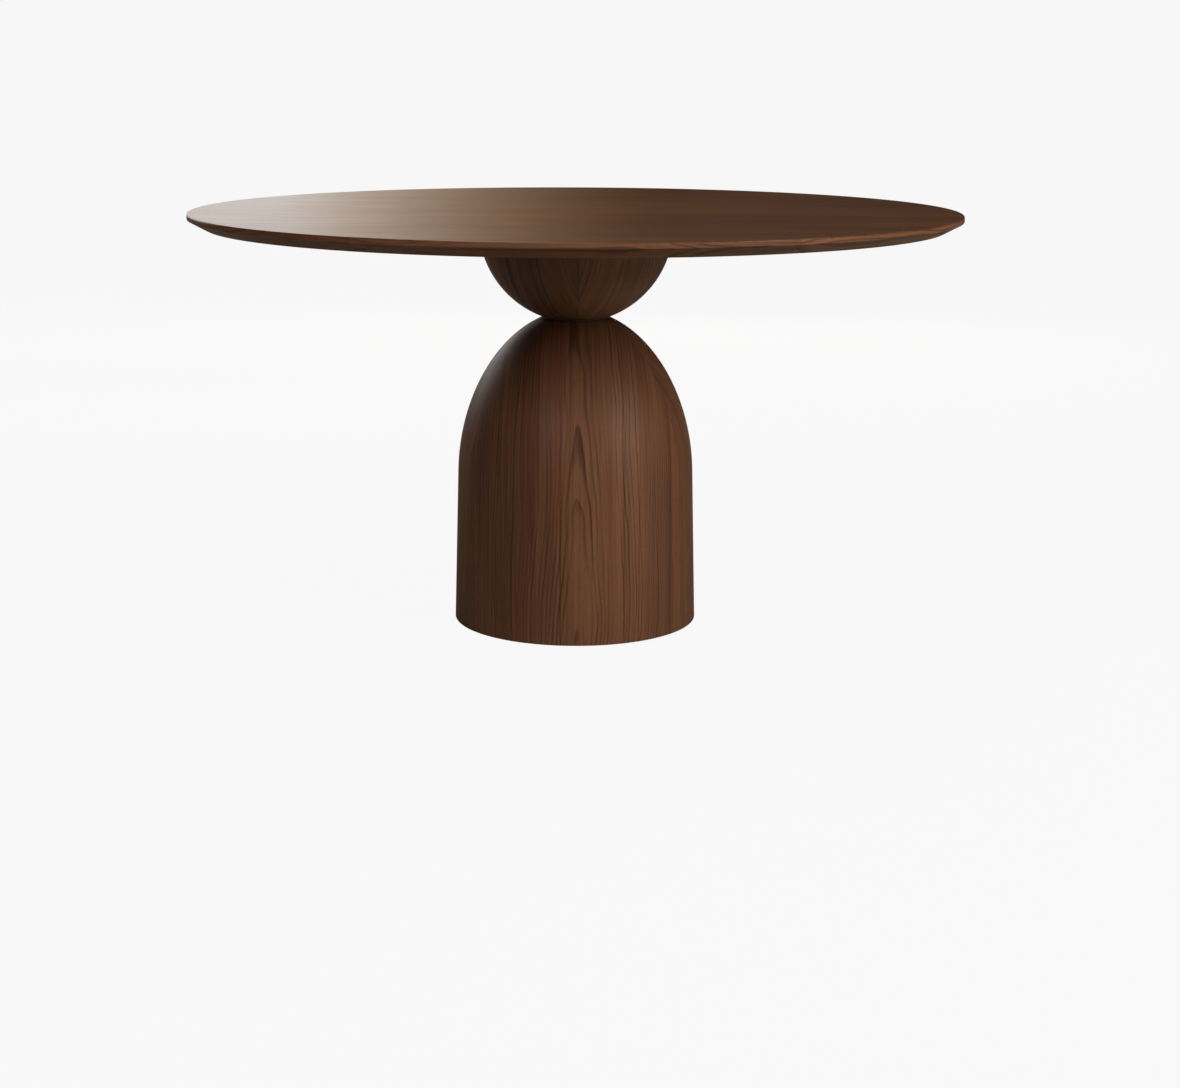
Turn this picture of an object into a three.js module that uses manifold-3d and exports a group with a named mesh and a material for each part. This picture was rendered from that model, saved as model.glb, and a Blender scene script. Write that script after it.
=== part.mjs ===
// Round pedestal dining table: a walnut top on a round bowl that stands on a tall bell-shaped
// dome. A steel column and a tie rod inside clamp the stack between the top plate and the base
// plate, cast iron discs weigh the foot down, and four levelling glides carry it.
// Millimetres, +Z up, origin on the floor in the middle of the foot.
import * as THREE from 'three';
import { mergeVertices } from 'three/addons/utils/BufferGeometryUtils.js';
import Module from 'manifold-3d';

const wasm = await Module();
wasm.setup();

// ---- Overall sizes ----
const tableHeight = 750;
const topDiameter = 1370;
const baseDiameter = 445;

// ---- Tabletop ----
const topThickness = 25;
const edgeHeight = 9; // the upright part of the edge, above the bevel
const bevelWidth = 30; // how far the bevel runs in under the top
const lippingWidth = 48; // solid ring round the core

// ---- Bowl, collar and dome ----
const bowlRadius = 175; // a half ball centred on the top's underside
const bowlWall = 12;
const waistRadius = 64;
const collarHeight = 4;
const collarInset = 2; // the collar stands back from the bowl and the dome
const domeWall = 15;
const domeDraft = 0.0276; // radius lost for each millimetre of height
const springHeight = 281; // where the straight side turns into the elliptical crown
const domeFloorGap = 4;

// ---- Plywood rings ----
const plywood = 18;
const rimRingWidth = 26;
const footRingWidth = 45;
const footRingHeight = 24;
const beltRingWidth = 50;
const crownRingDrop = 28; // below the dome's top
const bowlFloorRise = 16; // above the bowl's foot

// ---- Steel spine ----
const columnDiameter = 76;
const columnWall = 4;
const rodDiameter = 16;
const rodEngagement = 26; // length of rod in the top plate's boss
const topPlateThickness = 6;
const bossHeight = 32;
const bossWall = 10;
const basePlateHeight = 30; // underside above the floor
const basePlateThickness = 8;
const washerRadius = 17;
const washerThickness = 3;
const tieNutFlats = 24;
const tieNutHeight = 13;
const rodTail = 4; // rod showing below its nut

// ---- Ballast ----
const ballastCount = 3;
const ballastThickness = 25;
const ballastBoltCount = 4;
const ballastBoltDiameter = 10;
const ballastBoltInset = 26; // from the disc's rim
const ballastBoltEnd = 5; // short of the stack's top

// ---- Top bolts, inserts and foot screws ----
const topBoltCount = 6;
const topBoltDiameter = 8;
const topBoltReach = 12; // into the tabletop
const topBoltInset = 24; // from the plate's rim
const insertWall = 2.6;
const insertDepth = 16;
const footScrewCount = 8;
const footScrewDiameter = 6;
const footScrewReach = 18; // into the foot ring
const footScrewInset = 17; // from the base plate's rim

// ---- Levelling glides ----
const glideCount = 4;
const glideInset = 20; // stem axis from the base plate's rim
const padRadius = 18;
const padHeight = 8;
const padChamfer = 1.5;
const socketFloor = 3; // pad left under the stem's foot
const stemDiameter = 10;
const stemFootFlare = 1.2;
const stemTop = 58;
const stemHexFlats = 14;
const stemHexHeight = 6;
const stemHexLift = 1; // above the pad
const weldNutFlats = 17;
const weldNutHeight = 8;

// ---- Clearances and facets ----
const fitGap = 0.3; // between pieces that slide or nest in each other
const holeGap = 0.6; // round a bolt or a rod in a plain hole
const runningGap = 0.35; // round a turning stem
const columnGap = 0.8; // round the column in each ring it passes
const shellGap = 2; // between a curved wall and the ring or plate inside it
const ringClearance = 3; // between a steel or iron disc and the plywood ring round it
const largeFacets = 96;
const bodyFacets = 48;
const smallFacets = 16;
const boltFacets = 12;
const domeSteps = 9;
const bowlSteps = 7;

// ---- Heights and radii that follow ----
const topRadius = topDiameter / 2;
const baseRadius = baseDiameter / 2;
const underside = tableHeight - topThickness;
const rimZ = underside;
const waistZ = underside - Math.sqrt(bowlRadius ** 2 - waistRadius ** 2);
const collarBottomZ = waistZ - collarHeight;
const domeTopZ = collarBottomZ;
const columnRadius = columnDiameter / 2;
const columnHole = columnRadius + columnGap;
const rodRadius = rodDiameter / 2;
const basePlateTopZ = basePlateHeight + basePlateThickness;
const plateUndersideZ = underside - topPlateThickness;
const coreRadius = topRadius - lippingWidth;

// Radius of the dome's straight, slightly drawn-in side carried up to height z.
function draftRadius(z) {
  return baseRadius - domeDraft * z;
}

// Half height of the elliptical crown, so that the outside meets the waist at the dome's top.
const crownRise = (domeTopZ - springHeight)
  / Math.sqrt(1 - (waistRadius / draftRadius(domeTopZ)) ** 2);

// Radius inside the dome's wall at height z.
function domeInside(z) {
  const lift = Math.max(0, z - springHeight) / (crownRise - domeWall);
  return (draftRadius(z) - domeWall) * Math.sqrt(1 - lift ** 2);
}

// Radius inside the bowl's wall at height z.
function bowlInside(z) {
  return Math.sqrt((bowlRadius - bowlWall) ** 2 - (underside - z) ** 2);
}

const basePlateRadius = domeInside(basePlateTopZ) - shellGap;
const glideCircle = basePlateRadius - glideInset;
const footScrewCircle = basePlateRadius - footScrewInset;
const footRingOuter = domeInside(basePlateTopZ + footRingHeight) - fitGap;
const footRingInner = footRingOuter - footRingWidth;
const ballastRadius = footRingInner - ringClearance;
const ballastBoltCircle = ballastRadius - ballastBoltInset;
const ballastTopZ = basePlateTopZ + ballastCount * ballastThickness;
const rimRingOuter = bowlInside(rimZ - plywood) - shellGap;
const rimRingInner = rimRingOuter - rimRingWidth;
const topPlateRadius = rimRingInner - ringClearance;
const topBoltCircle = topPlateRadius - topBoltInset;
const insertBore = topBoltDiameter / 2 + fitGap;

// ---- Materials ----
function finish(color, roughness, metalness) {
  return () => new THREE.MeshStandardMaterial({ color, roughness, metalness });
}
const walnutVeneer = finish(0x5b3b28, 0.42, 0);
const walnutSolid = finish(0x6d472f, 0.45, 0);
const birchPlywood = finish(0xb9935f, 0.75, 0);
const blackSteel = finish(0x2a2b2d, 0.5, 0.7);
const zincSteel = finish(0xa7a9a6, 0.38, 0.9);
const castIron = finish(0x3b3a39, 0.8, 0.6);
const blackNylon = finish(0x1a1a1b, 0.6, 0);

// ---- Shape helpers ----

// A solid turned about +Z from [radius, height] corners listed anticlockwise in the section.
function turned(corners, facets) {
  const outline = corners.map(([radius, height]) => new THREE.Vector2(radius, height));
  if (corners[0][0] > 0) outline.push(outline[0].clone());
  return new THREE.LatheGeometry(outline, facets).rotateX(Math.PI / 2);
}

// A plain ring or, with no bore, a disc.
function ring(outer, bore, bottom, top, facets) {
  return turned([[bore, bottom], [outer, bottom], [outer, top], [bore, top]], facets);
}

// Corners of a round outline.
function circle(radius, facets, x = 0, y = 0) {
  return Array.from({ length: facets }, (_, index) => {
    const angle = index * Math.PI * 2 / facets;
    return new THREE.Vector2(x + radius * Math.cos(angle), y + radius * Math.sin(angle));
  });
}

// A flat plate with a round bore and small round holes, each given as [radius, x, y].
function plate(outer, bore, holes, bottom, thickness) {
  const outline = new THREE.Shape(circle(outer, bodyFacets));
  outline.holes.push(new THREE.Path(circle(bore, bodyFacets)));
  for (const [radius, x, y] of holes) {
    outline.holes.push(new THREE.Path(circle(radius, boltFacets, x, y)));
  }
  const options = { depth: thickness, bevelEnabled: false };
  return new THREE.ExtrudeGeometry(outline, options).translate(0, 0, bottom);
}

// A hexagonal prism measured across its flats, with an optional round bore.
function hexagon(flats, bore, bottom, height) {
  const outline = new THREE.Shape(circle(flats / Math.sqrt(3), 6));
  if (bore > 0) outline.holes.push(new THREE.Path(circle(bore, boltFacets)));
  const options = { depth: height, bevelEnabled: false };
  return new THREE.ExtrudeGeometry(outline, options).translate(0, 0, bottom);
}

// Evenly spaced places on a circle, as [angle, x, y].
function around(count, radius, firstAngle) {
  return Array.from({ length: count }, (_, index) => {
    const angle = firstAngle + index * Math.PI * 2 / count;
    return [angle, radius * Math.cos(angle), radius * Math.sin(angle)];
  });
}

function toSolid(geometry) {
  const bare = geometry.clone();
  bare.deleteAttribute('normal');
  bare.deleteAttribute('uv');
  const merged = mergeVertices(bare, 1e-4);
  return new wasm.Manifold(new wasm.Mesh({
    numProp: 3,
    vertProperties: new Float32Array(merged.attributes.position.array),
    triVerts: new Uint32Array(merged.index.array),
  }));
}

function toGeometry(solid) {
  const { vertProperties, triVerts } = solid.getMesh();
  const geometry = new THREE.BufferGeometry();
  geometry.setAttribute('position', new THREE.BufferAttribute(vertProperties, 3));
  geometry.setIndex(new THREE.BufferAttribute(triVerts, 1));
  geometry.computeVertexNormals();
  return geometry;
}

const table = new THREE.Group();

function add(name, geometry, material, x = 0, y = 0, angle = 0) {
  const piece = new THREE.Mesh(geometry, material());
  piece.name = name;
  piece.position.set(x, y, 0);
  piece.rotation.z = angle;
  table.add(piece);
}

// A hexagon-head screw, head down, with the head's bearing face at height seat.
function hexScrew(diameter, seat, length) {
  const headHeight = diameter * 0.65;
  const head = toSolid(hexagon(diameter * 1.6, 0, seat - headHeight, headHeight));
  const shank = toSolid(ring(diameter / 2, 0, seat - headHeight / 2, seat + length, boltFacets));
  return toGeometry(head.add(shank));
}

// ---- Tabletop ----

const topBoltPlaces = around(topBoltCount, topBoltCircle, Math.PI / 6);

// The core disc has a blind pocket in its underside for each threaded insert.
function tabletopCore() {
  let core = toSolid(ring(coreRadius - fitGap, 0, underside, tableHeight, largeFacets));
  const pocketRadius = insertBore + insertWall + fitGap;
  const pocketTop = underside + insertDepth + fitGap;
  for (const [, x, y] of topBoltPlaces) {
    const pocket = ring(pocketRadius, 0, underside - 1, pocketTop, boltFacets).translate(x, y, 0);
    core = core.subtract(toSolid(pocket));
  }
  return toGeometry(core);
}

// The lipping has an upright edge over a wide bevel that thins the rim.
function edgeLipping() {
  return turned([
    [coreRadius, underside],
    [topRadius - bevelWidth, underside],
    [topRadius, tableHeight - edgeHeight],
    [topRadius, tableHeight],
    [coreRadius, tableHeight],
  ], largeFacets);
}

add('tabletop_core', tabletopCore(), walnutVeneer);
add('edge_lipping', edgeLipping(), walnutSolid);

// ---- Top plate with its fixings ----

// A steel disc with a boss welded under it; the rod screws up into the boss.
function topPlate() {
  const bossRadius = rodRadius + bossWall;
  const bossBottom = plateUndersideZ - bossHeight;
  let body = toSolid(turned([
    [0, bossBottom],
    [bossRadius, bossBottom],
    [bossRadius, plateUndersideZ],
    [topPlateRadius, plateUndersideZ],
    [topPlateRadius, underside],
    [0, underside],
  ], bodyFacets));
  const socketTop = bossBottom + rodEngagement + fitGap;
  const socket = ring(rodRadius + fitGap, 0, bossBottom - 1, socketTop, smallFacets);
  body = body.subtract(toSolid(socket));
  for (const [, x, y] of topBoltPlaces) {
    const hole = ring(topBoltDiameter / 2 + holeGap, 0, plateUndersideZ - 1, underside + 1, boltFacets);
    body = body.subtract(toSolid(hole.translate(x, y, 0)));
  }
  return toGeometry(body);
}

add('top_plate', topPlate(), blackSteel);

const boltLength = topPlateThickness + topBoltReach;
topBoltPlaces.forEach(([angle, x, y], index) => {
  const insert = ring(insertBore + insertWall, insertBore, underside, underside + insertDepth, boltFacets);
  add(`threaded_insert_${index + 1}`, insert, zincSteel, x, y);
  add(`top_bolt_${index + 1}`, hexScrew(topBoltDiameter, plateUndersideZ, boltLength), zincSteel, x, y, angle);
});

// ---- Bowl ----

// Points on a quarter ball's section between two angles measured from straight down.
function ballArc(radius, from, to) {
  return Array.from({ length: bowlSteps + 1 }, (_, step) => {
    const angle = from + (to - from) * step / bowlSteps;
    return [radius * Math.sin(angle), underside - radius * Math.cos(angle)];
  });
}

function bowlShell() {
  const inner = bowlRadius - bowlWall;
  const outside = ballArc(bowlRadius, Math.asin(waistRadius / bowlRadius), Math.PI / 2);
  const inside = ballArc(inner, Math.PI / 2, Math.asin(columnHole / inner));
  return turned([[columnHole, waistZ], ...outside, ...inside], bodyFacets);
}

const bowlFloorZ = waistZ + bowlFloorRise;
const bowlFloorRadius = bowlInside(bowlFloorZ) - shellGap;
add('bowl_shell', bowlShell(), walnutVeneer);
add('bowl_rim_ring', ring(rimRingOuter, rimRingInner, rimZ - plywood, rimZ, bodyFacets), birchPlywood);
add('bowl_floor_ring',
  ring(bowlFloorRadius, columnHole, bowlFloorZ, bowlFloorZ + plywood, bodyFacets), birchPlywood);

// ---- Waist collar ----

add('waist_collar',
  ring(waistRadius - collarInset, columnHole, collarBottomZ, waistZ, bodyFacets), walnutSolid);

// ---- Dome ----

// Points on the dome's section from the spring line to the given radius, inset from the outside.
function crownArc(inset, endRadius) {
  const endAngle = Math.acos(endRadius / (draftRadius(domeTopZ) - inset));
  return Array.from({ length: domeSteps + 1 }, (_, step) => {
    const angle = endAngle * step / domeSteps;
    const height = springHeight + (crownRise - inset) * Math.sin(angle);
    return [(draftRadius(height) - inset) * Math.cos(angle), height];
  });
}

function domeShell() {
  const outside = crownArc(0, waistRadius);
  outside[domeSteps] = [waistRadius, domeTopZ];
  const inside = crownArc(domeWall, columnHole).reverse();
  inside[0][0] = columnHole;
  return turned([
    [draftRadius(domeFloorGap) - domeWall, domeFloorGap],
    [draftRadius(domeFloorGap), domeFloorGap],
    ...outside,
    [columnHole, domeTopZ],
    ...inside,
  ], bodyFacets);
}

const crownRingTopZ = domeTopZ - crownRingDrop;
const crownRingRadius = domeInside(crownRingTopZ) - shellGap;
const beltRingRadius = domeInside(springHeight) - shellGap;
add('dome_shell', domeShell(), walnutVeneer);
add('dome_crown_ring',
  ring(crownRingRadius, columnHole, crownRingTopZ - plywood, crownRingTopZ, bodyFacets), birchPlywood);
add('dome_belt_ring', ring(beltRingRadius, beltRingRadius - beltRingWidth,
  springHeight - plywood, springHeight, bodyFacets), birchPlywood);

// ---- Foot ring, base plate and their screws ----

const glidePlaces = around(glideCount, glideCircle, Math.PI / 4);
const footScrewPlaces = around(footScrewCount, footScrewCircle, Math.PI / 8);
const ballastBoltPlaces = around(ballastBoltCount, ballastBoltCircle, 0);

function holesAt(places, radius) {
  return places.map(([, x, y]) => [radius, x, y]);
}

const stemRadius = stemDiameter / 2;
const stemHoles = holesAt(glidePlaces, stemRadius + 2 * holeGap);
const screwHoles = holesAt(footScrewPlaces, footScrewDiameter / 2 + fitGap);
const ballastHoles = holesAt(ballastBoltPlaces, ballastBoltDiameter / 2 + holeGap);

add('dome_foot_ring', plate(footRingOuter, footRingInner, [...stemHoles, ...screwHoles],
  basePlateTopZ, footRingHeight), birchPlywood);
add('base_plate', plate(basePlateRadius, rodRadius + holeGap,
  [...stemHoles, ...screwHoles, ...ballastHoles],
  basePlateHeight, basePlateThickness), blackSteel);
const footScrewLength = basePlateThickness + footScrewReach;
footScrewPlaces.forEach(([angle, x, y], index) => {
  const screw = hexScrew(footScrewDiameter, basePlateHeight, footScrewLength);
  add(`foot_screw_${index + 1}`, screw, zincSteel, x, y, angle);
});

// ---- Column, tie rod, washer and nut ----

const rodTopZ = plateUndersideZ - bossHeight + rodEngagement;
const washerZ = basePlateHeight - washerThickness;
const tieNutZ = washerZ - tieNutHeight;
add('column_tube', ring(columnRadius, columnRadius - columnWall,
  basePlateTopZ, plateUndersideZ, bodyFacets), blackSteel);
add('tie_rod', ring(rodRadius, 0, tieNutZ - rodTail, rodTopZ, smallFacets), zincSteel);
add('tie_washer', ring(washerRadius, rodRadius + holeGap, washerZ, basePlateHeight, smallFacets), zincSteel);
add('tie_nut', hexagon(tieNutFlats, rodRadius + fitGap, tieNutZ, tieNutHeight), zincSteel);

// ---- Ballast ----

const ballastBoltLength = ballastTopZ - ballastBoltEnd - basePlateHeight;
for (let level = 0; level < ballastCount; level += 1) {
  const disc = plate(ballastRadius, columnHole, ballastHoles,
    basePlateTopZ + level * ballastThickness, ballastThickness);
  add(`ballast_disc_${level + 1}`, disc, castIron);
}
ballastBoltPlaces.forEach(([angle, x, y], index) => {
  const bolt = hexScrew(ballastBoltDiameter, basePlateHeight, ballastBoltLength);
  add(`ballast_bolt_${index + 1}`, bolt, zincSteel, x, y, angle);
});

// ---- Levelling glides ----

// A nylon pad with a socket for the stem's foot.
function glidePad() {
  const socketRadius = stemRadius + stemFootFlare + runningGap;
  return turned([
    [0, 0],
    [padRadius - padChamfer, 0],
    [padRadius, padChamfer],
    [padRadius, padHeight - padChamfer],
    [padRadius - padChamfer, padHeight],
    [socketRadius, padHeight],
    [socketRadius, socketFloor],
    [0, socketFloor],
  ], smallFacets);
}

// A screwed stem with a flared foot in the pad and a hexagon for the spanner.
function glideStem() {
  const footBottom = socketFloor + fitGap;
  const hexBottom = padHeight + stemHexLift;
  const stem = toSolid(turned([
    [0, footBottom],
    [stemRadius + stemFootFlare, footBottom],
    [stemRadius + stemFootFlare, padHeight - fitGap],
    [stemRadius, padHeight],
    [stemRadius, stemTop],
    [0, stemTop],
  ], smallFacets));
  return toGeometry(stem.add(toSolid(hexagon(stemHexFlats, 0, hexBottom, stemHexHeight))));
}

glidePlaces.forEach(([angle, x, y], index) => {
  const nut = hexagon(weldNutFlats, stemRadius + runningGap, basePlateHeight - weldNutHeight, weldNutHeight);
  add(`glide_nut_${index + 1}`, nut, zincSteel, x, y, angle);
  add(`glide_pad_${index + 1}`, glidePad(), blackNylon, x, y);
  add(`glide_stem_${index + 1}`, glideStem(), zincSteel, x, y, angle);
});

export default table;
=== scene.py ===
"""Looks for a round walnut pedestal table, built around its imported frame.

Everything is in metres, with +Z up and the floor at z = 0. The wooden pieces are turned
shapes whose veneer is laid in leaves; screws, nuts and glides have real heads and threads.
"""
import math
from functools import partial

import bmesh
import bpy
from mathutils import Matrix, Vector


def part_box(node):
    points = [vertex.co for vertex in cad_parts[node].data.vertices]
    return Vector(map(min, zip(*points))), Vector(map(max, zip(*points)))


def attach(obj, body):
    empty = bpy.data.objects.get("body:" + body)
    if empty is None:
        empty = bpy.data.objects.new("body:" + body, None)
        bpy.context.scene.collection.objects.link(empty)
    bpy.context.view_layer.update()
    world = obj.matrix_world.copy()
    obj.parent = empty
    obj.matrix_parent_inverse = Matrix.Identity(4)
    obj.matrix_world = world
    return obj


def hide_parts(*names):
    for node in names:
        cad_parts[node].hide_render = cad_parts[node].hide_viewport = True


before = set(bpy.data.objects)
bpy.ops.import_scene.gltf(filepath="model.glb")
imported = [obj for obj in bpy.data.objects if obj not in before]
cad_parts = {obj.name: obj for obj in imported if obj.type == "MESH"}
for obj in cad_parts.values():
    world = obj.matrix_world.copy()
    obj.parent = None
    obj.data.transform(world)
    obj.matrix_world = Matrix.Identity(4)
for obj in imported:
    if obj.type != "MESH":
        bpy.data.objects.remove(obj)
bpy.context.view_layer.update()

MM = 0.001


# ---- Sizes read from the frame ----

def reach(name):
    """Largest radius of a node centred on the table's axis."""
    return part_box(name)[1].x


def heights(name):
    """Lowest and highest level of a node."""
    low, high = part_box(name)
    return low.z, high.z


def centre(name):
    """Middle of a node's box."""
    low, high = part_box(name)
    return (low + high) / 2


TOP_RADIUS = reach("edge_lipping")
UNDERSIDE, TOP_HEIGHT = heights("tabletop_core")
CORE_RADIUS = reach("tabletop_core")
BOWL_RADIUS = reach("bowl_shell")
BOWL_FOOT, BOWL_RIM = heights("bowl_shell")
COLLAR_RADIUS = reach("waist_collar")
COLLAR_LOW, COLLAR_HIGH = heights("waist_collar")
DOME_RADIUS = reach("dome_shell")
DOME_LOW, DOME_TOP = heights("dome_shell")
COLUMN_CLEARANCE = 0.8 * MM
COLUMN_HOLE = reach("column_tube") + COLUMN_CLEARANCE

# ---- Sizes of the turned wood ----
EDGE_HEIGHT = 9 * MM
BEVEL_WIDTH = 30 * MM
FACE_VENEER = 1.6 * MM
WAIST_RADIUS = 64 * MM
BOWL_WALL = 12 * MM
DOME_WALL = 15 * MM
DOME_DRAFT = 0.0276
SPRING_HEIGHT = 281 * MM
LIP_INSET = 1.0 * MM  # how far inside the waist the flat lips of bowl and dome end
PLATE_THICKNESS = 6 * MM


# ---- Node helper and colours ----
MATH = "ShaderNodeMath"
RANGE = "ShaderNodeMapRange"
NOISE = "ShaderNodeTexNoise"
MIX = "ShaderNodeMix"
VECTOR = "ShaderNodeVectorMath"
SPLIT = "ShaderNodeSeparateXYZ"
JOIN = "ShaderNodeCombineXYZ"
SMOOTH = {"interpolation_type": "SMOOTHSTEP"}
COLOUR = {"data_type": "RGBA"}


def linear(code):
    """An sRGB hex colour as linear RGBA."""
    parts = [int(code[i:i + 2], 16) / 255 for i in (1, 3, 5)]
    curve = [c / 12.92 if c <= 0.04045 else ((c + 0.055) / 1.055) ** 2.4 for c in parts]
    return (*curve, 1.0)


def node(tree, kind, *values, named=None, **settings):
    """Adds a node, sets its properties, and fills its inputs: those in use, in their order, and
    then the named ones. A socket is linked, and a node is linked by its first output in use."""
    made = tree.nodes.new(kind)
    for name, setting in settings.items():
        setattr(made, name, setting)
    in_use = [socket for socket in made.inputs if socket.enabled]
    filled = list(zip(in_use, values))
    filled += [(made.inputs[key], value) for key, value in (named or {}).items()]
    for socket, value in filled:
        if isinstance(value, bpy.types.Node):
            value = next(output for output in value.outputs if output.enabled)
        if isinstance(value, bpy.types.NodeSocket):
            tree.links.new(value, socket)
        else:
            socket.default_value = value
    return made


def node_adder(owner):
    """Empties the node tree of a material or a world, and gives what adds nodes to it."""
    owner.use_nodes = True
    owner.node_tree.nodes.clear()
    return partial(node, owner.node_tree)


def blank_material(name, **shader_inputs):
    """A material with one Principled shader, its constant inputs set on its own sockets. Gives the
    material, what adds nodes to it, and the shader."""
    made = bpy.data.materials.new(name)
    add = node_adder(made)
    inputs = {key.replace("_", " "): value for key, value in shader_inputs.items()}
    shader = add("ShaderNodeBsdfPrincipled", named=inputs)
    add("ShaderNodeOutputMaterial", shader)
    return made, add, shader


def grit(add, size, detail=2.0, rough=0.5, stretch=(1.0, 1.0, 1.0)):
    """A pattern on the piece's own coordinates, whose grains are about size metres across."""
    place = add("ShaderNodeTexCoord").outputs["Object"]
    spread = add("ShaderNodeMapping", place, named={"Scale": stretch})
    return add(NOISE, spread, 1 / size, detail, rough)


def wire(shader, colour, roughness, bump):
    """Links a colour, a roughness and a relief to the shader."""
    links = shader.id_data.links
    for name, made in (("Base Color", colour), ("Roughness", roughness), ("Normal", bump)):
        links.new(next(output for output in made.outputs if output.enabled), shader.inputs[name])


# ---- Wood ----
LEAF_STEP = 11.7  # how far apart two leaves lie in a pattern's space


def growth_rings(add, streaks, across, along, ring_pitch, heart, climb):
    """The dark late wood of each ring, from 0 to 1. The rings go round a log axis that lies aside
    of and behind the leaf, climbs away from it, and wanders as a grown stem does."""
    heart_side, heart_depth = heart
    wander = add(RANGE, streaks(330 * MM, 620 * MM), 0.25, 0.75, -16 * MM, 16 * MM, **SMOOTH)
    waver = add(RANGE, streaks(38 * MM, 180 * MM, 3.0), 0.25, 0.75, -2.2 * MM, 2.2 * MM, **SMOOTH)
    sideways = add(MATH, across, wander, operation="ADD")
    sideways = add(MATH, sideways, waver, operation="ADD")
    sideways = add(MATH, sideways, heart_side, operation="ADD")
    swell = add(RANGE, streaks(170 * MM, 220 * MM), 0.25, 0.75, -3.5 * MM, 3.5 * MM, **SMOOTH)
    climbing = add(MATH, along, climb, heart_depth, operation="MULTIPLY_ADD")
    depth = add(MATH, climbing, swell, operation="ADD")
    from_heart = add(VECTOR, add(JOIN, sideways, depth), operation="LENGTH")
    rings = add(MATH, from_heart, ring_pitch, operation="DIVIDE")

    phase = add(MATH, rings, operation="FRACT")
    late = add(RANGE, phase, 0.45, 0.92, 0.0, 1.0, **SMOOTH)
    ring_end = add(RANGE, phase, 0.92, 1.0, 1.0, 0.0, **SMOOTH)
    ring_number = add(MATH, rings, operation="FLOOR")
    ring_strength = add("ShaderNodeTexWhiteNoise", ring_number, noise_dimensions="1D")
    own = add(RANGE, ring_strength, 0.0, 1.0, 0.15, 1.0, **SMOOTH)
    broken = add(RANGE, streaks(33 * MM, 330 * MM), 0.35, 0.6, 0.35, 1.0, **SMOOTH)
    line = add(MATH, late, ring_end, operation="MULTIPLY")
    line = add(MATH, line, broken, operation="MULTIPLY")
    return add(MATH, line, own, operation="MULTIPLY")


def walnut(name, pale, deep, ring_pitch, heart, climb, figure, drift, roughness):
    """Sliced walnut under satin lacquer: arched growth rings over the heart of each leaf that run
    out into straight lines, fine fibre streaks, open pores and broad shifts of colour.
    It reads two maps: "grain" is metres across and along the leaf, and "leaf" is the leaf's
    number and the metres to its nearest joint. The real pores are 0.1 mm wide; they are drawn
    up to 0.6 mm wide, so that they show."""
    made, add, shader = blank_material(name, IOR=1.5, Specular_IOR_Level=0.4)
    grain = add(SPLIT, add("ShaderNodeUVMap", uv_map="grain"))
    leaf = add(SPLIT, add("ShaderNodeUVMap", uv_map="leaf"))
    across, along = grain.outputs[0], grain.outputs[1]
    number, joint = leaf.outputs[0], leaf.outputs[1]
    spot = add(JOIN, across, along, number)

    def streaks(width, length, detail=2.0, rough=0.5):
        """A pattern drawn out along the leaf, whose streaks have this width and length in metres."""
        cycles = (1 / width, 1 / length, LEAF_STEP)
        stretched = add(VECTOR, spot, cycles, operation="MULTIPLY")
        return add(NOISE, stretched, 1.0, detail, rough)

    line = growth_rings(add, streaks, across, along, ring_pitch, heart, climb)

    # Fibre, fine lines, dark mineral streaks and broad colour.
    fibre = streaks(1.8 * MM, 140 * MM, 3.0, 0.6)
    lines = streaks(5.3 * MM, 900 * MM, 2.0, 0.6)
    streak = add(RANGE, streaks(10.5 * MM, 1100 * MM), 0.56, 0.74, 0.0, 1.0, **SMOOTH)
    cloud = add(RANGE, streaks(110 * MM, 830 * MM), 0.3, 0.7, 0.0, 1.0, **SMOOTH)
    shade = add(MATH, number, drift, operation="MULTIPLY")
    for part, weight in ((line, figure), (fibre, 0.34), (lines, 0.55), (cloud, 0.24), (streak, 0.24)):
        shade = add(MATH, part, weight, shade, operation="MULTIPLY_ADD")
    darkness = add(RANGE, shade, 0.22, 1.05, 0.0, 1.0, **SMOOTH)
    tone = add(MIX, darkness, linear(pale), linear(deep), **COLOUR)

    # Ruddy patches, open pores and the hairline of each joint.
    patches = add(RANGE, streaks(38 * MM, 1100 * MM), 0.42, 0.72, 0.0, 0.45, **SMOOTH)
    ruddy = add(MIX, patches, tone, linear("#6c402b"), **COLOUR)
    pores = add(RANGE, streaks(0.6 * MM, 17 * MM, 1.0), 0.64, 0.74, 0.0, 0.5, **SMOOTH)
    hairline = add(RANGE, joint, 0.15 * MM, 0.6 * MM, 0.65, 0.0, **SMOOTH)
    dark_marks = add(MATH, pores, hairline, operation="MAXIMUM")
    colour = add(MIX, dark_marks, ruddy, linear("#24150d"), **COLOUR)
    gloss = add(RANGE, fibre, 0.25, 0.75, roughness - 0.05, roughness + 0.06, **SMOOTH)
    raised = add(MATH, fibre, 0.25, operation="MULTIPLY")
    relief = add(MATH, raised, dark_marks, operation="SUBTRACT")
    bump = add("ShaderNodeBump", 0.25, 0.08 * MM, named={"Height": relief})
    wire(shader, colour, gloss, bump)
    return made


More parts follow.
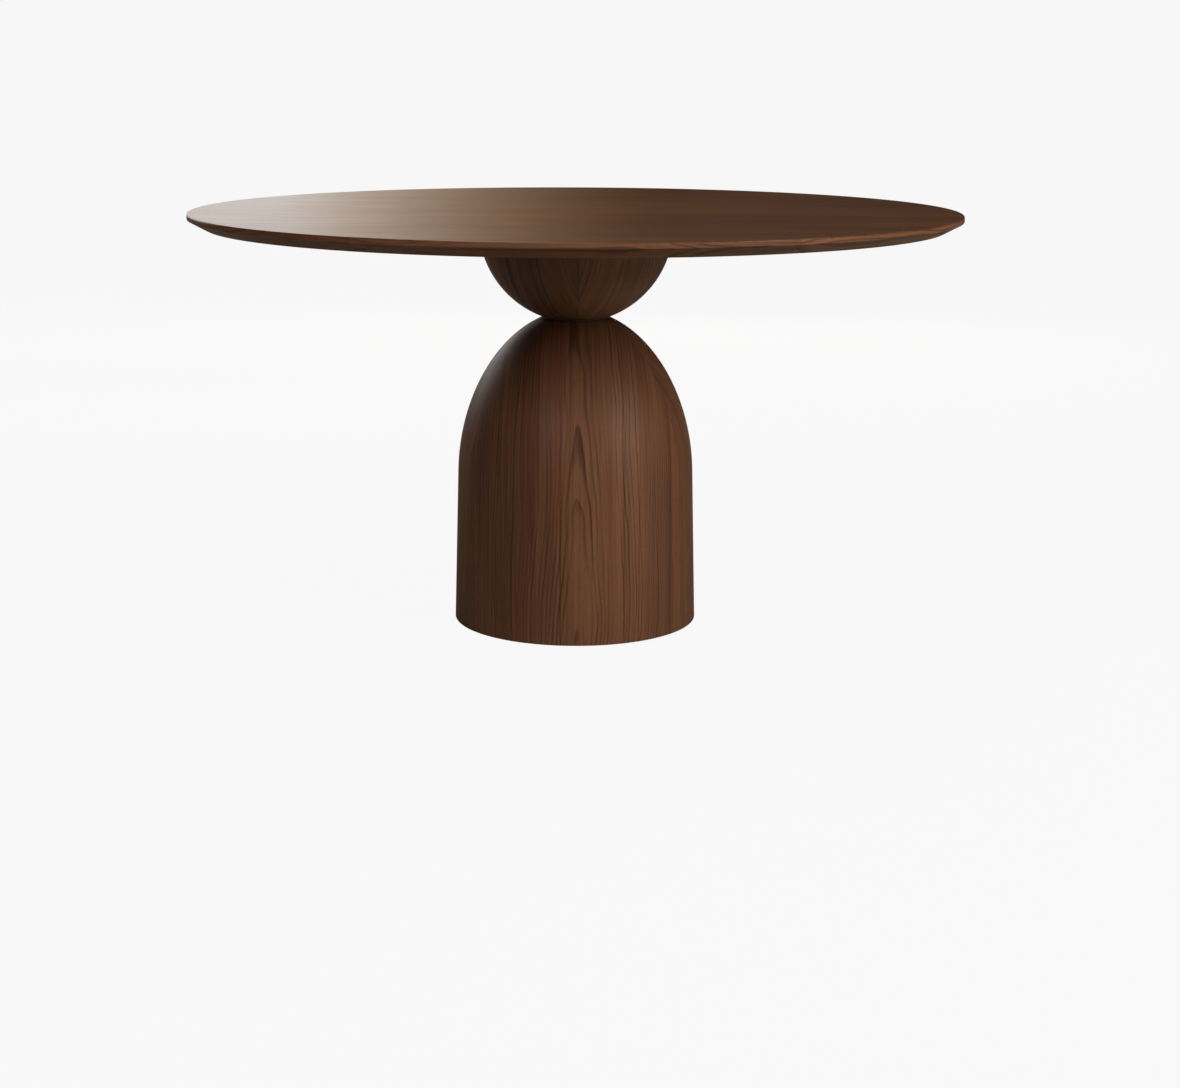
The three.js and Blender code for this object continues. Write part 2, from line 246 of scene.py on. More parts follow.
# The heart is the log's middle, given beside and behind the leaf; climb is the slope of the log's
# axis to the leaf; figure is the weight of the rings; drift is the tone gained from leaf to leaf.
WALNUT_TOP = walnut("walnut_face_veneer_satin", pale="#7d573c", deep="#422d1f",
                    ring_pitch=5.2 * MM, heart=(300 * MM, 120 * MM), climb=0.010,
                    figure=0.26, drift=0.008, roughness=0.36)
WALNUT_DOME = walnut("walnut_wrapped_veneer_satin", pale="#865d43", deep="#412b1f",
                     ring_pitch=6 * MM, heart=(0.0, 24 * MM), climb=0.042,
                     figure=0.42, drift=0.020, roughness=0.49)
# The bowl's colours are paler than the dome's: painted light in place of the light missing under the
# tabletop. Its drift makes the front-right leaf the lightest, partly the wood's own tone and partly
# painted light from the right.
WALNUT_BOWL_PAINTED_LIGHT = walnut("walnut_bowl_veneer_painted_light", pale="#a87d5d", deep="#553f33",
                     ring_pitch=6 * MM, heart=(0.0, 25 * MM), climb=0.060,
                     figure=0.15, drift=0.012, roughness=0.48)
WALNUT_SOLID = walnut("solid_walnut_edge_satin", pale="#9a6c4d", deep="#503727",
                      ring_pitch=7 * MM, heart=(0.0, 120 * MM), climb=0.020,
                      figure=0.35, drift=0.010, roughness=0.42)
# The neck's near-black colours are painted shade: they make the collar read as the shadow line at the
# waist.
WALNUT_NECK_PAINTED_SHADE = walnut("walnut_neck_painted_shade", pale="#2e2018", deep="#19110c",
                     ring_pitch=7 * MM, heart=(0.0, 120 * MM), climb=0.020,
                     figure=0.35, drift=0.010, roughness=0.55)


def birch_plywood():
    """Cut birch plywood, raw: 1.4 mm plies that show long fibres and end grain by turns, a dark
    glue line between them, and a dry, slightly furry surface. The real pores are under 0.1 mm
    wide; they are drawn 0.6 mm wide, so that they show."""
    made, add, shader = blank_material("birch_plywood_cut", IOR=1.5)
    height = add(SPLIT, add("ShaderNodeTexCoord").outputs["Object"]).outputs[2]
    wave = add(RANGE, grit(add, 80 * MM), 0.2, 0.8, -0.3 * MM, 0.3 * MM, **SMOOTH)
    ply = add(MATH, add(MATH, height, wave, operation="ADD"), 1.4 * MM, operation="DIVIDE")
    within = add(MATH, ply, operation="FRACT")
    ply_number = add(MATH, ply, operation="FLOOR")
    odd = add(MATH, add(MATH, ply_number, 2.0, operation="MODULO"), operation="ABSOLUTE")
    own = add("ShaderNodeTexWhiteNoise", ply_number, noise_dimensions="1D")
    end_grain = grit(add, 0.6 * MM, 1.0)
    long_grain = grit(add, 1.2 * MM, 3.0, 0.6, (0.04, 1.0, 1.0))
    light = add(MIX, long_grain, linear("#e2c79c"), linear("#cfae7e"), **COLOUR)
    dark = add(MIX, end_grain, linear("#c39c69"), linear("#a87f50"), **COLOUR)
    plies = add(MIX, odd, light, dark, **COLOUR)
    tint = add(RANGE, own, 0.0, 1.0, 0.0, 0.22, **SMOOTH)
    varied = add(MIX, tint, plies, linear("#b98d5c"), **COLOUR)
    glue_below = add(RANGE, within, 0.0, 0.10, 0.8, 0.0, **SMOOTH)
    glue_above = add(RANGE, within, 0.92, 1.0, 0.0, 0.8, **SMOOTH)
    glue = add(MATH, glue_below, glue_above, operation="MAXIMUM")
    colour = add(MIX, glue, varied, linear("#6b4a2f"), **COLOUR)
    rough = add(RANGE, end_grain, 0.2, 0.8, 0.66, 0.84, **SMOOTH)
    bump = add("ShaderNodeBump", 0.4, 0.12 * MM, named={"Height": end_grain})
    wire(shader, colour, rough, bump)
    return made


def powder_coated_steel():
    """Steel plate and tube under matt black powder coat: a fine orange peel of 1.5 mm, sparse pale
    flecks of under-cured powder, and dust that greys it unevenly."""
    made, add, shader = blank_material("black_powder_coated_steel", IOR=1.5)
    peel = grit(add, 1.5 * MM, 2.0)
    dust = add(RANGE, grit(add, 45 * MM, 4.0, 0.6), 0.42, 0.7, 0.0, 1.0, **SMOOTH)
    fleck = add(RANGE, grit(add, 0.7 * MM, 0.0), 0.72, 0.80, 0.0, 0.5, **SMOOTH)
    base = add(MIX, dust, linear("#1e1e1f"), linear("#282726"), **COLOUR)
    colour = add(MIX, fleck, base, linear("#55534f"), **COLOUR)
    rough = add(RANGE, dust, 0.0, 1.0, 0.48, 0.64, **SMOOTH)
    bump = add("ShaderNodeBump", 0.4, 0.10 * MM, named={"Height": peel})
    wire(shader, colour, rough, bump)
    return made


def zinc_plated_steel():
    """Bright zinc-plated steel: a cool grey metal with faint straw passivation clouds, duller
    bluish patches, and fine upright scratches. Real scratches are under 0.1 mm wide; they are
    drawn 0.5 mm wide, so that they show."""
    made, add, shader = blank_material("bright_zinc_plated_steel", Metallic=1.0)
    cloud = add(RANGE, grit(add, 7 * MM, 3.0), 0.35, 0.68, 0.0, 1.0, **SMOOTH)
    dull = grit(add, 2.5 * MM, 4.0, 0.65)
    scratch = grit(add, 0.5 * MM, 2.0, 0.6, (1.0, 1.0, 0.08))
    straw = add(MIX, cloud, linear("#b7babb"), linear("#bdb79f"), **COLOUR)
    dulled = add(RANGE, dull, 0.45, 0.75, 0.0, 0.45, **SMOOTH)
    colour = add(MIX, dulled, straw, linear("#8e949b"), **COLOUR)
    rough = add(RANGE, dull, 0.25, 0.75, 0.26, 0.44, **SMOOTH)
    bump = add("ShaderNodeBump", 0.4, 0.03 * MM, named={"Height": scratch})
    wire(shader, colour, rough, bump)
    return made


def sand_cast_iron():
    """Grey iron as it leaves a sand mould, oiled against rust: dark, matt and pitted by sand
    grains, with a few brown blooms. Real grains are 0.3 mm; they are drawn 1.1 mm across, so
    that they show."""
    made, add, shader = blank_material("sand_cast_grey_iron", Metallic=1.0)
    sand = grit(add, 1.1 * MM, 3.0, 0.6)
    bloom = add(RANGE, grit(add, 24 * MM, 4.0, 0.6), 0.56, 0.72, 0.0, 0.7, **SMOOTH)
    base = add(MIX, sand, linear("#4e4d4c"), linear("#66635f"), **COLOUR)
    colour = add(MIX, bloom, base, linear("#5a3a28"), **COLOUR)
    rough = add(RANGE, sand, 0.2, 0.8, 0.52, 0.74, **SMOOTH)
    bump = add("ShaderNodeBump", 0.7, 0.35 * MM, named={"Height": sand})
    wire(shader, colour, rough, bump)
    return made


def moulded_nylon():
    """Black nylon moulded in a spark-eroded tool: a fine even grain, slightly glossy, paled by
    scuffs that run across the sole. The real grain is about 0.1 mm; it is drawn 0.5 mm coarse,
    so that it shows."""
    made, add, shader = blank_material("black_moulded_nylon", IOR=1.53)
    tool_grain = grit(add, 0.5 * MM, 1.0)
    scuff_marks = grit(add, 2.2 * MM, 3.0, 0.6, (0.12, 1.0, 1.0))
    scuff = add(RANGE, scuff_marks, 0.58, 0.72, 0.0, 0.6, **SMOOTH)
    colour = add(MIX, scuff, linear("#191a1b"), linear("#4a4a48"), **COLOUR)
    rough = add(RANGE, scuff, 0.0, 0.6, 0.40, 0.62, **SMOOTH)
    bump = add("ShaderNodeBump", 0.4, 0.05 * MM, named={"Height": tool_grain})
    wire(shader, colour, rough, bump)
    return made


PLYWOOD = birch_plywood()
POWDER_COAT = powder_coated_steel()
ZINC = zinc_plated_steel()
CAST_IRON = sand_cast_iron()
NYLON = moulded_nylon()


# ---- Mesh helpers ----

HOLD = 1.4  # each flat gets a point at this many times a rounding's run, so that it shades flat
ON_AXIS = 1e-7


def eased(corners, steps=4):
    """A section's outline, with each corner (r, z, ease) rounded by its ease radius."""
    outline = []
    count = len(corners)
    for index, (r, z, ease) in enumerate(corners):
        here = Vector((r, z))
        if ease <= 0:
            outline.append(here)
            continue
        before = (Vector(corners[index - 1][:2]) - here).normalized()
        after = (Vector(corners[(index + 1) % count][:2]) - here).normalized()
        half = before.angle(after) / 2
        run = ease / math.tan(half)
        middle = here + (before + after).normalized() * ease / math.sin(half)
        start, end = here + before * run, here + after * run
        first, last = start - middle, end - middle
        sweep = first.angle_signed(last)
        outline.append(here + before * run * HOLD)
        outline += [middle + Matrix.Rotation(-sweep * step / steps, 2) @ first
                    for step in range(steps + 1)]
        outline.append(here + after * run * HOLD)
    return outline


def turned(name, outline, around, start=0.0, flats=None):
    """A closed solid of revolution about +Z from an outline of (r, z) points. Given flats, what
    would stand out past a hexagon of that width across its flats is cut off."""
    angles = [start + 2 * math.pi * step / around for step in range(around)]

    def cut(r, angle):
        if flats is None:
            return r
        from_flat = (angle + math.pi / 6) % (math.pi / 3) - math.pi / 6
        return min(r, flats / 2 / math.cos(from_flat))

    mesh = bmesh.new()
    columns = []
    for r, z in outline:
        if r < ON_AXIS:
            columns.append([mesh.verts.new((0, 0, z))] * around)
            continue
        reaches = [cut(r, a) for a in angles]
        columns.append([mesh.verts.new((reached * math.cos(a), reached * math.sin(a), z))
                        for reached, a in zip(reaches, angles)])
    pairs = list(zip(columns, columns[1:]))
    if outline[0][0] > ON_AXIS:
        pairs.append((columns[-1], columns[0]))
    for low, high in pairs:
        for step in range(around):
            after = (step + 1) % around
            corners = [low[step], low[after], high[after], high[step]]
            unique = list(dict.fromkeys(corners))
            if len(unique) > 2:
                mesh.faces.new(unique)
    bmesh.ops.recalc_face_normals(mesh, faces=mesh.faces)
    return to_object(name, mesh)


def to_object(name, mesh, sharp_degrees=40):
    """Turns a bmesh into a linked, smooth-shaded object whose sharp corners stay sharp."""
    data = bpy.data.meshes.new(name)
    mesh.to_mesh(data)
    mesh.free()
    data.polygons.foreach_set("use_smooth", [True] * len(data.polygons))
    data.set_sharp_from_angle(angle=math.radians(sharp_degrees))
    made = bpy.data.objects.new(name, data)
    bpy.context.scene.collection.objects.link(made)
    return made


def lay_veneer(piece, lay):
    """Fills the "grain" and "leaf" maps. lay(face centre) gives a function of a corner's place
    that returns (across, along, leaf number, metres to the joint)."""
    data = piece.data
    grain = data.uv_layers.new(name="grain")
    leaf = data.uv_layers.new(name="leaf")
    for face in data.polygons:
        on_leaf = lay(face.center)
        for corner in face.loop_indices:
            place = data.vertices[data.loops[corner].vertex_index].co
            across, along, number, joint = on_leaf(place)
            grain.data[corner].uv = (across, along)
            leaf.data[corner].uv = (number, joint)


def upright_leaves(count, first_middle):
    """Leaves that stand side by side round the axis, each with its grain upright."""
    width = 2 * math.pi / count

    def lay(face_centre):
        turn = (math.atan2(face_centre.y, face_centre.x) - first_middle) % (2 * math.pi)
        number = round(turn / width) % count
        middle = first_middle + number * width
        side = -1 if number % 2 else 1

        def on_leaf(place):
            radius = math.hypot(place.x, place.y)
            off = (math.atan2(place.y, place.x) - middle + math.pi) % (2 * math.pi) - math.pi
            joint = max(0.0, radius * (width / 2 - abs(off)))
            return side * radius * off, place.z, number, joint
        return on_leaf
    return lay


def flat_leaves(width, offset):
    """Leaves side by side across Y, each with its grain along X and turned over from the last."""
    def lay(face_centre):
        number = round((face_centre.y - offset) / width)
        side = -1 if number % 2 else 1

        def on_leaf(place):
            off = place.y - offset - number * width
            return side * off, place.x, number, max(0.0, width / 2 - abs(off))
        return on_leaf
    return lay


def ring_segments(count, radius):
    """Solid segments end to end round a ring, each with its grain along the ring."""
    width = 2 * math.pi / count

    def lay(face_centre):
        turn = math.atan2(face_centre.y, face_centre.x) % (2 * math.pi)
        number = int(turn / width)
        middle = (number + 0.5) * width

        def on_leaf(place):
            off = (math.atan2(place.y, place.x) - middle + math.pi) % (2 * math.pi) - math.pi
            joint = max(0.0, radius * (width / 2 - abs(off)))
            depth = radius - math.hypot(place.x, place.y)
            return place.z + 0.8 * depth, radius * off, number, joint
        return on_leaf
    return lay


def dress(piece, material, body, slot, *nodes):
    """Gives a finished piece its material and its body, and hides the CAD nodes it stands for. The
    slot is not used.
    """
    piece.data.materials.clear()
    piece.data.materials.append(material)
    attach(piece, body)
    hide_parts(*nodes)


# ---- Tabletop ----
ROUND_STEPS = 288  # a whole number for each leaf of the bowl and the dome
LEAF_WIDTH = 232 * MM
LEAF_OFFSET = -60 * MM
EDGE_GAP = 0.2 * MM  # how far the board's edges stay in from the lipping's faces
LIPPING_SEGMENTS = 6


def make_tabletop():
    """The veneered board: its face veneer runs out over the lipping to the arris. Its faces are
    cut at the joint and the middle of each leaf, so that the distance to a joint is even in each."""
    core = CORE_RADIUS - EDGE_GAP
    arris = TOP_RADIUS - EDGE_GAP
    outline = eased([
        (0, UNDERSIDE, 0),
        (core, UNDERSIDE, 0),
        (core, TOP_HEIGHT - FACE_VENEER, 0),
        (arris, TOP_HEIGHT - FACE_VENEER, 0),
        (arris, TOP_HEIGHT, 1.4 * MM),
        (0, TOP_HEIGHT, 0),
    ])
    piece = turned("tabletop_board", outline, ROUND_STEPS)
    mesh = bmesh.new()
    mesh.from_mesh(piece.data)
    most_halves = math.ceil(TOP_RADIUS / (LEAF_WIDTH / 2))
    for halves in range(-most_halves, most_halves + 1):
        cut = LEAF_OFFSET + halves * LEAF_WIDTH / 2
        everything = mesh.verts[:] + mesh.edges[:] + mesh.faces[:]
        bmesh.ops.bisect_plane(mesh, geom=everything, plane_co=(0, cut, 0), plane_no=(0, 1, 0))
    mesh.to_mesh(piece.data)
    mesh.free()
    lay_veneer(piece, flat_leaves(LEAF_WIDTH, LEAF_OFFSET))
    dress(piece, WALNUT_TOP, "root", "walnut_veneer", "tabletop_core")


def make_lipping():
    """The solid ring: an upright edge with eased corners over the wide bevel."""
    top = TOP_HEIGHT - FACE_VENEER
    outline = eased([
        (CORE_RADIUS, UNDERSIDE, 0),
        (TOP_RADIUS - BEVEL_WIDTH, UNDERSIDE, 1.5 * MM),
        (TOP_RADIUS, TOP_HEIGHT - EDGE_HEIGHT, 1.2 * MM),
        (TOP_RADIUS, top, 0.4 * MM),
        (CORE_RADIUS, top, 0),
    ])
    piece = turned("edge_lipping_ring", outline, ROUND_STEPS)
    lay_veneer(piece, ring_segments(LIPPING_SEGMENTS, TOP_RADIUS))
    dress(piece, WALNUT_SOLID, "root", "walnut_solid", "edge_lipping")


# ---- Bowl, collar and dome ----
BOWL_LEAVES = 6
DOME_LEAVES = 3
FRONT = -math.pi / 2
BOWL_TURN = math.radians(2)
COLLAR_SEGMENTS = 4


def ball_arc(radius, start, end, steps):
    """Points on the bowl's ball, with angles measured from straight down."""
    angles = [start + (end - start) * step / steps for step in range(steps + 1)]
    return [Vector((radius * math.sin(a), BOWL_RIM - radius * math.cos(a))) for a in angles]


def make_bowl():
    """The half-ball bowl, a turned shell with one of its joints just right of the front."""
    inner = BOWL_RADIUS - BOWL_WALL
    clear_of_lip = 0.006
    foot = math.asin(WAIST_RADIUS / BOWL_RADIUS) + clear_of_lip
    outside = ball_arc(BOWL_RADIUS, foot, math.pi / 2, 40)
    inside = ball_arc(inner, math.pi / 2, math.asin(COLUMN_HOLE / inner), 24)
    lip = [Vector((COLUMN_HOLE, BOWL_FOOT)), Vector((WAIST_RADIUS - LIP_INSET, BOWL_FOOT)),
           Vector((WAIST_RADIUS - 0.2 * MM, BOWL_FOOT + 0.25 * MM))]
    half_leaf = math.pi / BOWL_LEAVES
    middle = FRONT + BOWL_TURN + half_leaf
    piece = turned("bowl", lip + outside + inside, ROUND_STEPS, middle + half_leaf)
    lay_veneer(piece, upright_leaves(BOWL_LEAVES, middle))
    dress(piece, WALNUT_BOWL_PAINTED_LIGHT, "root", "walnut_veneer", "bowl_shell")


def make_collar():
    """The short neck between bowl and dome, set back and coloured near black as painted shade, so
    that it reads as a shadow line.
    """
    outline = eased([
        (COLUMN_HOLE, COLLAR_LOW, 0),
        (COLLAR_RADIUS, COLLAR_LOW, 0.3 * MM),
        (COLLAR_RADIUS, COLLAR_HIGH, 0.3 * MM),
        (COLUMN_HOLE, COLLAR_HIGH, 0),
    ])
    piece = turned("waist_neck", outline, ROUND_STEPS // 2)
    lay_veneer(piece, ring_segments(COLLAR_SEGMENTS, COLLAR_RADIUS))
    dress(piece, WALNUT_NECK_PAINTED_SHADE, "root", "walnut_solid", "waist_collar")


def draft_radius(z):
    """The dome's outer radius at a level of its side, which leans in by the draft."""
    return DOME_RADIUS - DOME_DRAFT * (z - DOME_LOW)


CROWN_RISE = ((DOME_TOP - SPRING_HEIGHT)
              / math.sqrt(1 - (WAIST_RADIUS / draft_radius(DOME_TOP)) ** 2))


def crown_arc(inset, end_radius, steps):
    """Points on the dome's crown, an arc of an ellipse, from the spring line up to end_radius."""
    end = math.acos(end_radius / (draft_radius(DOME_TOP) - inset))
    points = []
    for step in range(steps + 1):
        angle = end * step / steps
        z = SPRING_HEIGHT + (CROWN_RISE - inset) * math.sin(angle)
        points.append(Vector(((draft_radius(z) - inset) * math.cos(angle), z)))
    return points


def make_dome():
    """The bell-shaped dome: a turned shell with a leaning side under a crown that curves over to
    the waist. The arched figure of its first leaf stands at the front."""
    side_steps = 12
    side = [DOME_LOW + (SPRING_HEIGHT - DOME_LOW) * step / side_steps
            for step in range(1, side_steps)]
    foot = eased([
        (draft_radius(DOME_LOW) - DOME_WALL, SPRING_HEIGHT, 0),
        (draft_radius(DOME_LOW) - DOME_WALL, DOME_LOW, 0.8 * MM),
        (draft_radius(DOME_LOW), DOME_LOW, 1.2 * MM),
        (draft_radius(SPRING_HEIGHT), SPRING_HEIGHT, 0),
    ])[1:-1]
    outside = crown_arc(0, WAIST_RADIUS + 0.3 * MM, 56)
    lip = [Vector((WAIST_RADIUS - LIP_INSET, DOME_TOP)), Vector((COLUMN_HOLE, DOME_TOP))]
    inside = crown_arc(DOME_WALL, COLUMN_HOLE, 28)[::-1]
    walls = [Vector((draft_radius(z), z)) for z in side]
    outline = foot + walls + outside + lip + inside
    piece = turned("dome", outline, ROUND_STEPS, FRONT + math.pi / DOME_LEAVES)
    lay_veneer(piece, upright_leaves(DOME_LEAVES, FRONT))
    dress(piece, WALNUT_DOME, "root", "walnut_veneer", "dome_shell")


# ---- Geometry Nodes ----

def number_input(tree, name, default, kind="NodeSocketFloat"):
    """Gives a group a named input for a size or a count."""
    socket = tree.interface.new_socket(name, in_out="INPUT", socket_type=kind)
    socket.default_value = default


def geometry_tree(name):
    """A Geometry Nodes group with a geometry input, a material input and a geometry output."""
    tree = bpy.data.node_groups.new(name, "GeometryNodeTree")
    tree.is_modifier = True
    tree.interface.new_socket("Geometry", in_out="INPUT", socket_type="NodeSocketGeometry")
    tree.interface.new_socket("Geometry", in_out="OUTPUT", socket_type="NodeSocketGeometry")
    tree.interface.new_socket("Material", in_out="INPUT", socket_type="NodeSocketMaterial")
    return tree


def close_tree(tree, given, shape):
    """Ends a group: its instances are made real and take the material."""
    real = node(tree, "GeometryNodeRealizeInstances", shape)
    coated = node(tree, "GeometryNodeSetMaterial", real,
                  named={"Material": given.outputs["Material"]})
    node(tree, "NodeGroupOutput", coated)


def ring_tree():
    """Copies of the given piece set evenly round a circle, each turned to face outwards."""
    tree = geometry_tree("ring of copies")
    number_input(tree, "Count", 4, "NodeSocketInt")
    number_input(tree, "Circle Radius", 0.1)
    number_input(tree, "First Angle", 0.0)
    add = partial(node, tree)
    given = add("NodeGroupInput")
    count, first_angle = given.outputs["Count"], given.outputs["First Angle"]
    circle = add("GeometryNodeMeshCircle", count, given.outputs["Circle Radius"])
    first_turn = add(JOIN, 0.0, 0.0, first_angle)
    turned_circle = add("GeometryNodeTransform", circle, named={"Rotation": first_turn})
    step = add(MATH, 2 * math.pi, count, operation="DIVIDE")
    index = add("GeometryNodeInputIndex")
    angle = add(MATH, index, step, first_angle, operation="MULTIPLY_ADD")
    facing = add(JOIN, 0.0, 0.0, angle)
    copies = add("GeometryNodeInstanceOnPoints", turned_circle,
                 named={"Instance": given.outputs["Geometry"], "Rotation": facing})
    close_tree(tree, given, copies)
    return tree


THREAD_STEPS = 20  # to a turn
RIDGE_SIDES = 6
RIDGE_RADIUS = 0.42  # of the pitch
THREAD_DEPTH = 0.55  # of the pitch


def thread_tree():
    """The given rod with a rolled thread: a rounded ridge that winds up it."""
    tree = geometry_tree("rolled thread")
    number_input(tree, "Crest Radius", 0.005)
    number_input(tree, "Pitch", 0.0015)
    number_input(tree, "Bottom", 0.0)
    number_input(tree, "Height", 0.04)
    add = partial(node, tree)
    given = add("NodeGroupInput")
    pitch, height = given.outputs["Pitch"], given.outputs["Height"]
    ridge_radius = add(MATH, pitch, RIDGE_RADIUS, operation="MULTIPLY")
    path_radius = add(MATH, given.outputs["Crest Radius"], ridge_radius, operation="SUBTRACT")
    turns = add(MATH, height, pitch, operation="DIVIDE")
    helix = add("GeometryNodeCurveSpiral", THREAD_STEPS, turns, path_radius, path_radius, height,
                named={"Reverse": True})
    ridge = add("GeometryNodeCurvePrimitiveCircle", RIDGE_SIDES, ridge_radius)
    wound = add("GeometryNodeCurveToMesh", helix, ridge, named={"Fill Caps": True})
    lift = add(JOIN, 0.0, 0.0, given.outputs["Bottom"])
    lifted = add("GeometryNodeTransform", wound, lift)
    smooth = add("GeometryNodeSetShadeSmooth", lifted)
    both = add("GeometryNodeJoinGeometry", smooth)
    tree.links.new(given.outputs["Geometry"], both.inputs[0])
    close_tree(tree, given, both)
    return tree


RING_TREE = ring_tree()
THREAD_TREE = thread_tree()


def grown(name, seed_piece, tree, **values):
    """Runs a group on a piece and leaves the result as a plain mesh in a new object."""
    modifier = seed_piece.modifiers.new(tree.name, "NODES")
    modifier.node_group = tree
    sockets = {item.name: item.identifier for item in tree.interface.items_tree
               if item.in_out == "INPUT"}
    for key, value in values.items():
        modifier[sockets[key.replace("_", " ")]] = value
    depsgraph = bpy.context.evaluated_depsgraph_get()
    data = bpy.data.meshes.new_from_object(seed_piece.evaluated_get(depsgraph))
    data.name = name
    seed_piece.modifiers.clear()
    bpy.data.objects.remove(seed_piece)
    made = bpy.data.objects.new(name, data)
    bpy.context.scene.collection.objects.link(made)
    return made


def put(piece, place):
    """Moves a piece's mesh, so that its object stays at the origin."""
    piece.data.transform(Matrix.Translation(place))
    return piece


# ---- Screws, bolts and inserts ----
SIDES_OF_HEAD = 48


def hex_outline(flats, low, high, top_chamfer):
    """The outside of a hexagon head or nut: its corners are chamfered below, and above it has
    either the same chamfer or a thin washer face."""
    corner = flats / math.sqrt(3) + 0.1 * MM
    edge = 0.95 * flats / 2
    halfway = (edge + corner) / 2
    drop = (corner - edge) * math.tan(math.radians(30))
    outline = [Vector((edge, low)), Vector((halfway, low + drop / 2)),
               Vector((corner, low + drop))]
    if top_chamfer:
        outline += [Vector((corner, high - drop)), Vector((halfway, high - drop / 2))]
    else:
        washer_face = high - 0.3 * MM
        outline += [Vector((corner, washer_face)), Vector((edge, washer_face))]
    return outline + [Vector((edge, high))]


def hex_bolt(name, flats, shank, head_low, seat, tip, pitch):
    """A bolt, head down, on the axis: a forged dish in its head, a washer face, a plain neck and a
    rolled thread."""
    dish, dish_top = 0.3 * flats, head_low + 0.4 * MM
    core = shank - THREAD_DEPTH * pitch
    neck = seat + 0.3 * (tip - seat)
    outline = [Vector((0, dish_top)), Vector((dish, dish_top)),
               Vector((dish + 0.5 * MM, head_low))]
    outline += hex_outline(flats, head_low, seat, False)
    outline += [Vector((shank, seat)), Vector((shank, neck)), Vector((core, neck + pitch)),
                Vector((core, tip - pitch)), Vector((core - 0.6 * pitch, tip)), Vector((0, tip))]
    piece = turned(name, outline, SIDES_OF_HEAD, 0.0, flats)
    return grown(name, piece, THREAD_TREE, Crest_Radius=shank, Pitch=pitch,
                 Bottom=neck + pitch, Height=tip - neck - 2.5 * pitch, Material=ZINC)


def ring_of(name, piece, stem, count):
    """Sets a piece in the place of each CAD node that is named stem_1 to stem_count."""
    names = [f"{stem}_{number}" for number in range(1, count + 1)]
    first = centre(names[0])
    ring = grown(name, piece, RING_TREE, Count=count, Circle_Radius=math.hypot(first.x, first.y),
                 First_Angle=math.atan2(first.y, first.x), Material=ZINC)
    dress(ring, ZINC, "root", "zinc_steel", *names)


def make_bolts():
    """The screws of the foot, the ballast's bolts, and the top plate's bolts: each has a width
    across its flats, a shank radius, the height of the face it clamps, and a pitch."""
    base_low = heights("base_plate")[0]
    plate_low = heights("top_plate")[1] - PLATE_THICKNESS
    for stem, count, flats, shank, seat, pitch in (
            ("foot_screw", 8, 9.6 * MM, 3 * MM, base_low, 1.0 * MM),
            ("ballast_bolt", 4, 16 * MM, 5 * MM, base_low, 1.5 * MM),
            ("top_bolt", 6, 12.8 * MM, 4 * MM, plate_low, 1.25 * MM)):
        low, tip = heights(f"{stem}_1")
        bolt = hex_bolt(stem, flats, shank, low, seat, tip, pitch)
        ring_of(f"{stem}s", bolt, stem, count)


def make_inserts():
    """Threaded inserts let into the tabletop: a flanged bush with a coarse outer thread."""
    low, high = heights("threaded_insert_1")
    bore, outer, pitch = 4.3 * MM, 6.9 * MM, 2.5 * MM
    core, chamfer = outer - 0.9 * MM, 0.6 * MM
    flange_high = low + 1.2 * MM
    outline = [Vector((bore, low)), Vector((outer, low)), Vector((outer, flange_high)),
               Vector((core, flange_high)), Vector((core, high - chamfer)),
               Vector((core - chamfer, high)), Vector((bore, high))]
    bush = turned("insert", outline, 36)
    bush = grown("insert", bush, THREAD_TREE, Crest_Radius=outer, Pitch=pitch,
                 Bottom=low + 2.4 * MM, Height=high - low - 4.4 * MM, Material=ZINC)
    ring_of("threaded_inserts", bush, "threaded_insert", 6)


def make_tie():
    """The rod that draws the whole column together, with its washer and nut under the foot."""
    low, high = heights("tie_rod")
    radius, pitch, chamfer = reach("tie_rod"), 2.0 * MM, 0.8 * MM
    core = radius - THREAD_DEPTH * pitch
    thread_high = heights("base_plate")[1] + 6 * MM
    outline = [Vector((0, low)), Vector((core - chamfer, low)), Vector((core, low + chamfer)),
               Vector((core, thread_high)), Vector((radius, thread_high + pitch)),
               Vector((radius, high - chamfer)), Vector((radius - chamfer, high)),
               Vector((0, high))]
    rod = grown("tie_bar", turned("tie_bar", outline, 48), THREAD_TREE, Crest_Radius=radius,
                Pitch=pitch, Bottom=low + pitch, Height=thread_high - low - pitch, Material=ZINC)
    dress(rod, ZINC, "root", "zinc_steel", "tie_rod")

    bore = radius + 0.3 * MM
    low, high = heights("tie_washer")
    rim = reach("tie_washer")
    washer_outline = eased([
        (bore, low, 0),
        (rim, low, 0.5 * MM),
        (rim, high, 0.2 * MM),
        (bore, high, 0),
    ])
    washer = turned("plain_washer", washer_outline, 72)
    dress(washer, ZINC, "root", "zinc_steel", "tie_washer")

    low, high = heights("tie_nut")
    flats = 24 * MM
    nut_outline = ([Vector((bore, low + chamfer)), Vector((bore + chamfer, low))]
                   + hex_outline(flats, low, high, True)
                   + [Vector((bore + chamfer, high)), Vector((bore, high - chamfer))])
    nut = turned("tie_hex_nut", nut_outline, SIDES_OF_HEAD, 0.0, flats)
    dress(nut, ZINC, "root", "zinc_steel", "tie_nut")


# ---- Glides ----
GLIDE_COUNT = 4
GLIDE_THREAD_PITCH = 1.5 * MM


